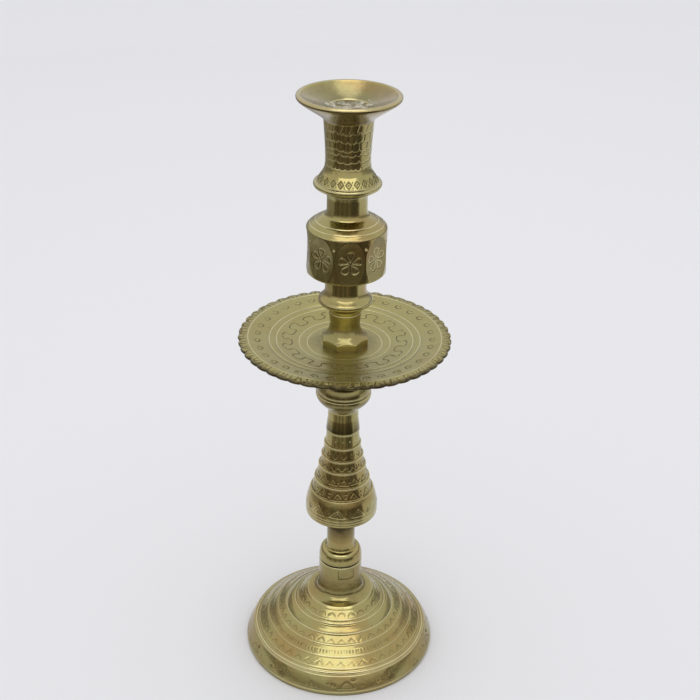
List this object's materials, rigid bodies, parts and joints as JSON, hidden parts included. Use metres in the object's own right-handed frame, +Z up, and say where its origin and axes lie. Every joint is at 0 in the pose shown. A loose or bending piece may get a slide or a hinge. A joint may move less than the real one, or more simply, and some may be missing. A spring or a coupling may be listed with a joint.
{
  "type": "candlestick",
  "caption": "Engraved brass candlestick: bell-shaped base and stem, drip tray, faceted column and funnel-mouthed candle cup, screwed together.",
  "frame": {"origin": "on the table under the middle of the base", "axes": "+Z up along the axis of the candlestick, -Y towards the camera"},
  "size_m": [0.136, 0.136, 0.4],
  "materials": {
    "cast_brass": "aged, turned and engraved casting",
    "tray_brass": "aged, turned and engraved sheet",
    "ring_brass": "turned, worn bright",
    "screw_brass": "cut thread, dull",
    "washer_leather": "dark, pressed thin"
  },
  "bodies": {
    "base": {"base_dome": "cast_brass"},
    "washer": {"stem_washer": "washer_leather"},
    "stem": {"stem": "cast_brass", "stem_screw": "screw_brass", "tray_collar": "cast_brass"},
    "tray": {"drip_tray": "tray_brass"},
    "column": {"column": "cast_brass", "column_screw": "screw_brass"},
    "ring": {"cup_ring": "ring_brass"},
    "cup": {"candle_cup": "cast_brass", "cup_screw": "screw_brass"}
  },
  "joints": [
    {"name": "stem_turn", "type": "hinge", "parent": "base", "child": "washer", "pos_m": [0, 0, 0.068], "axis": [0, 0, 1], "range_deg": [0, 2160]},
    {"name": "stem_rise", "type": "slide", "parent": "washer", "child": "stem", "axis": [0, 0, 1], "range_m": [0, 0.009]},
    {"name": "column_turn", "type": "hinge", "parent": "stem", "child": "tray", "pos_m": [0, 0, 0.2358], "axis": [0, 0, 1], "range_deg": [0, 2160]},
    {"name": "column_rise", "type": "slide", "parent": "tray", "child": "column", "axis": [0, 0, 1], "range_m": [0, 0.009]},
    {"name": "cup_turn", "type": "hinge", "parent": "column", "child": "ring", "pos_m": [0, 0, 0.34], "axis": [0, 0, 1], "range_deg": [0, 2160]},
    {"name": "cup_rise", "type": "slide", "parent": "ring", "child": "cup", "axis": [0, 0, 1], "range_m": [0, 0.009]}
  ],
  "couplings": [
    {"joint": "stem_rise", "follows": "stem_turn", "m_per_rad": 0.00023873},
    {"joint": "column_rise", "follows": "column_turn", "m_per_rad": 0.00023873},
    {"joint": "cup_rise", "follows": "cup_turn", "m_per_rad": 0.00023873}
  ]
}
